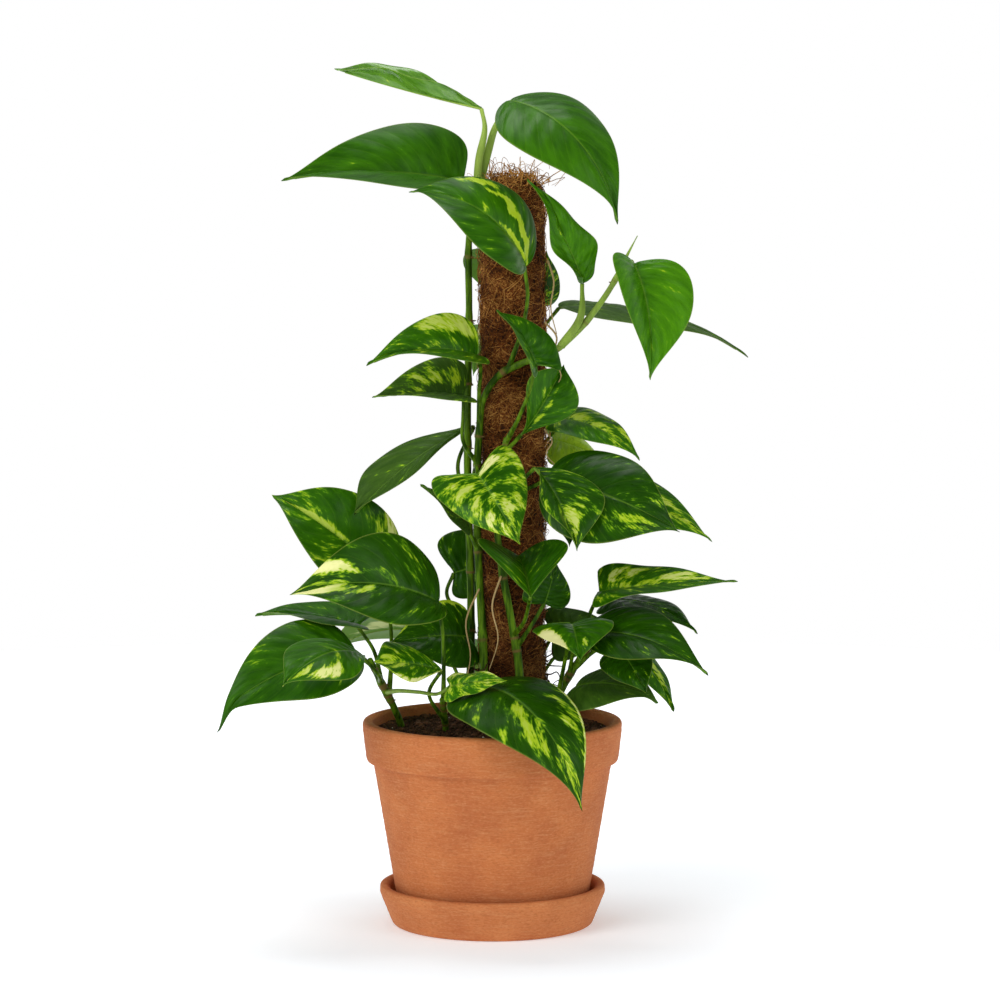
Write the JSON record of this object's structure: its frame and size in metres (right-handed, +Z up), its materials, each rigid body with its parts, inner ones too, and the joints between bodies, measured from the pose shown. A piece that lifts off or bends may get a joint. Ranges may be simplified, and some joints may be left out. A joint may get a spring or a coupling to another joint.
{
  "type": "golden pothos on a coir pole in a terracotta pot",
  "caption": "Golden pothos with heart-shaped green and yellow leaves climbing a coir pole, in a round terracotta pot that stands on a terracotta saucer.",
  "frame": {"origin": "centre of the saucer's underside, on the ground", "axes": "+Z up along the pot's axis, +X to the plant's right, -Y towards its front"},
  "size_m": [0.3673, 0.2796, 0.596],
  "materials": {
    "terracotta": "matt, unglazed",
    "potting_soil": "moist, crumbly",
    "pole_wood": "raw",
    "coir": "rough fibre",
    "stem": "smooth, waxy",
    "leaf_green": "glossy",
    "leaf_variegated": "glossy"
  },
  "bodies": {
    "root": {"saucer": "terracotta", "pot": "terracotta", "soil": "potting_soil", "pole_core": "pole_wood", "pole_coir": "coir", "stem_main": "stem", "stem_rear": "stem", "stem_front": "stem", "stem_left": "stem", "stem_right": "stem", "stem_near": "stem", "stem_back": "stem", "leaf_top_furled": "leaf_green", "leaf_top_right": "leaf_green", "leaf_top_left": "leaf_green", "leaf_top_front": "leaf_variegated", "leaf_top_twist": "leaf_green", "leaf_right_hang": "leaf_green", "leaf_back_top": "leaf_green", "leaf_back_long": "leaf_green", "leaf_left_upper": "leaf_variegated", "leaf_left_lower": "leaf_variegated", "leaf_left_dark": "leaf_green", "leaf_over_pole": "leaf_green", "leaf_mid_round": "leaf_green", "leaf_right_arch": "leaf_variegated", "leaf_right_under": "leaf_green", "leaf_heart": "leaf_variegated", "leaf_heart_behind": "leaf_green", "leaf_right_big": "leaf_variegated", "leaf_right_striped": "leaf_variegated", "leaf_right_outer": "leaf_variegated", "leaf_low_left_upper": "leaf_variegated", "leaf_low_left_big": "leaf_variegated", "leaf_low_left_thin": "leaf_green", "leaf_low_left_out": "leaf_green", "leaf_low_left_curl": "leaf_variegated", "leaf_low_left_dark": "leaf_green", "leaf_low_left_near": "leaf_variegated", "leaf_front_strip": "leaf_variegated", "leaf_front_big": "leaf_variegated", "leaf_low_right_dull": "leaf_green", "leaf_low_right_tip": "leaf_variegated", "leaf_low_right_dark": "leaf_green", "leaf_low_right_wide": "leaf_green", "leaf_low_right_front": "leaf_variegated", "leaf_low_right_mid": "leaf_green", "leaf_low_right_top": "leaf_variegated", "leaf_centre_front": "leaf_green", "leaf_centre_dark": "leaf_green", "leaf_behind_left": "leaf_green", "leaf_behind_grey": "leaf_green", "leaf_behind_right": "leaf_green", "leaf_rear_low_left": "leaf_variegated", "leaf_rear_low_mid": "leaf_green", "leaf_rear_low_right": "leaf_green", "leaf_rear_mid_low": "leaf_green", "leaf_rear_mid": "leaf_variegated", "leaf_rear_high": "leaf_variegated", "leaf_rear_top": "leaf_green"}
  },
  "joints": []
}
